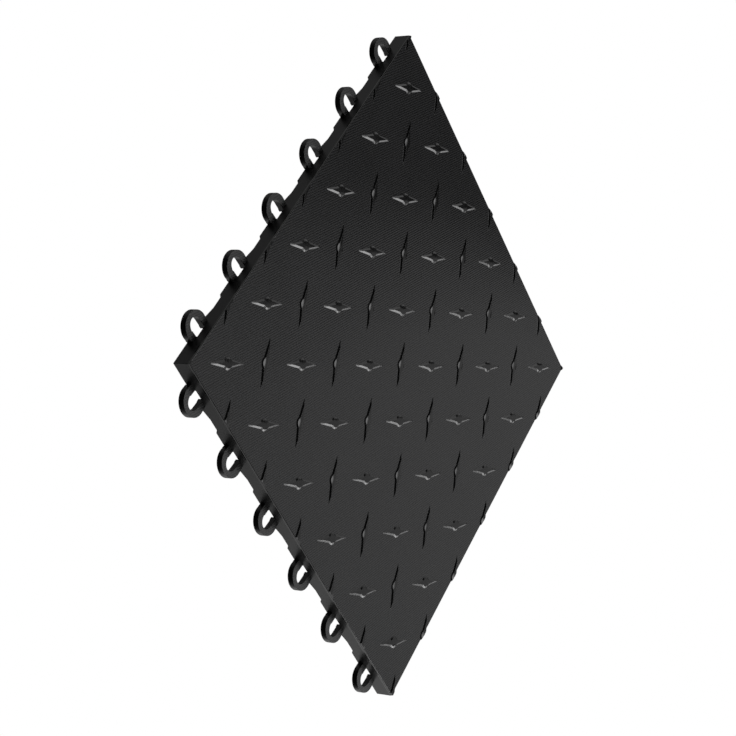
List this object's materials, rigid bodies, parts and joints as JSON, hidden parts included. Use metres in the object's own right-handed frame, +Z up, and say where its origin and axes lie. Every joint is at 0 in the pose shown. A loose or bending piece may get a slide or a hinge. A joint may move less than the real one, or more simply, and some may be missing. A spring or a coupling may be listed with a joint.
{
  "type": "modular floor tile",
  "caption": "Square black plastic floor tile with a diamond tread top, ribbed underside, connecting loops on two sides and matching sockets on the other two.",
  "frame": {"origin": "middle of the square body, on the floor, at the foot of the crossing centre ribs", "axes": "+Z up out of the walking face; the loops stand out of the -X and -Y walls; the sockets are in the +X and +Y walls"},
  "size_m": [0.317, 0.317, 0.0125],
  "materials": {
    "polypropylene": "black moulded polypropylene, satin, finely grained top"
  },
  "bodies": {
    "root": {"floor_tile": "polypropylene"}
  },
  "joints": []
}
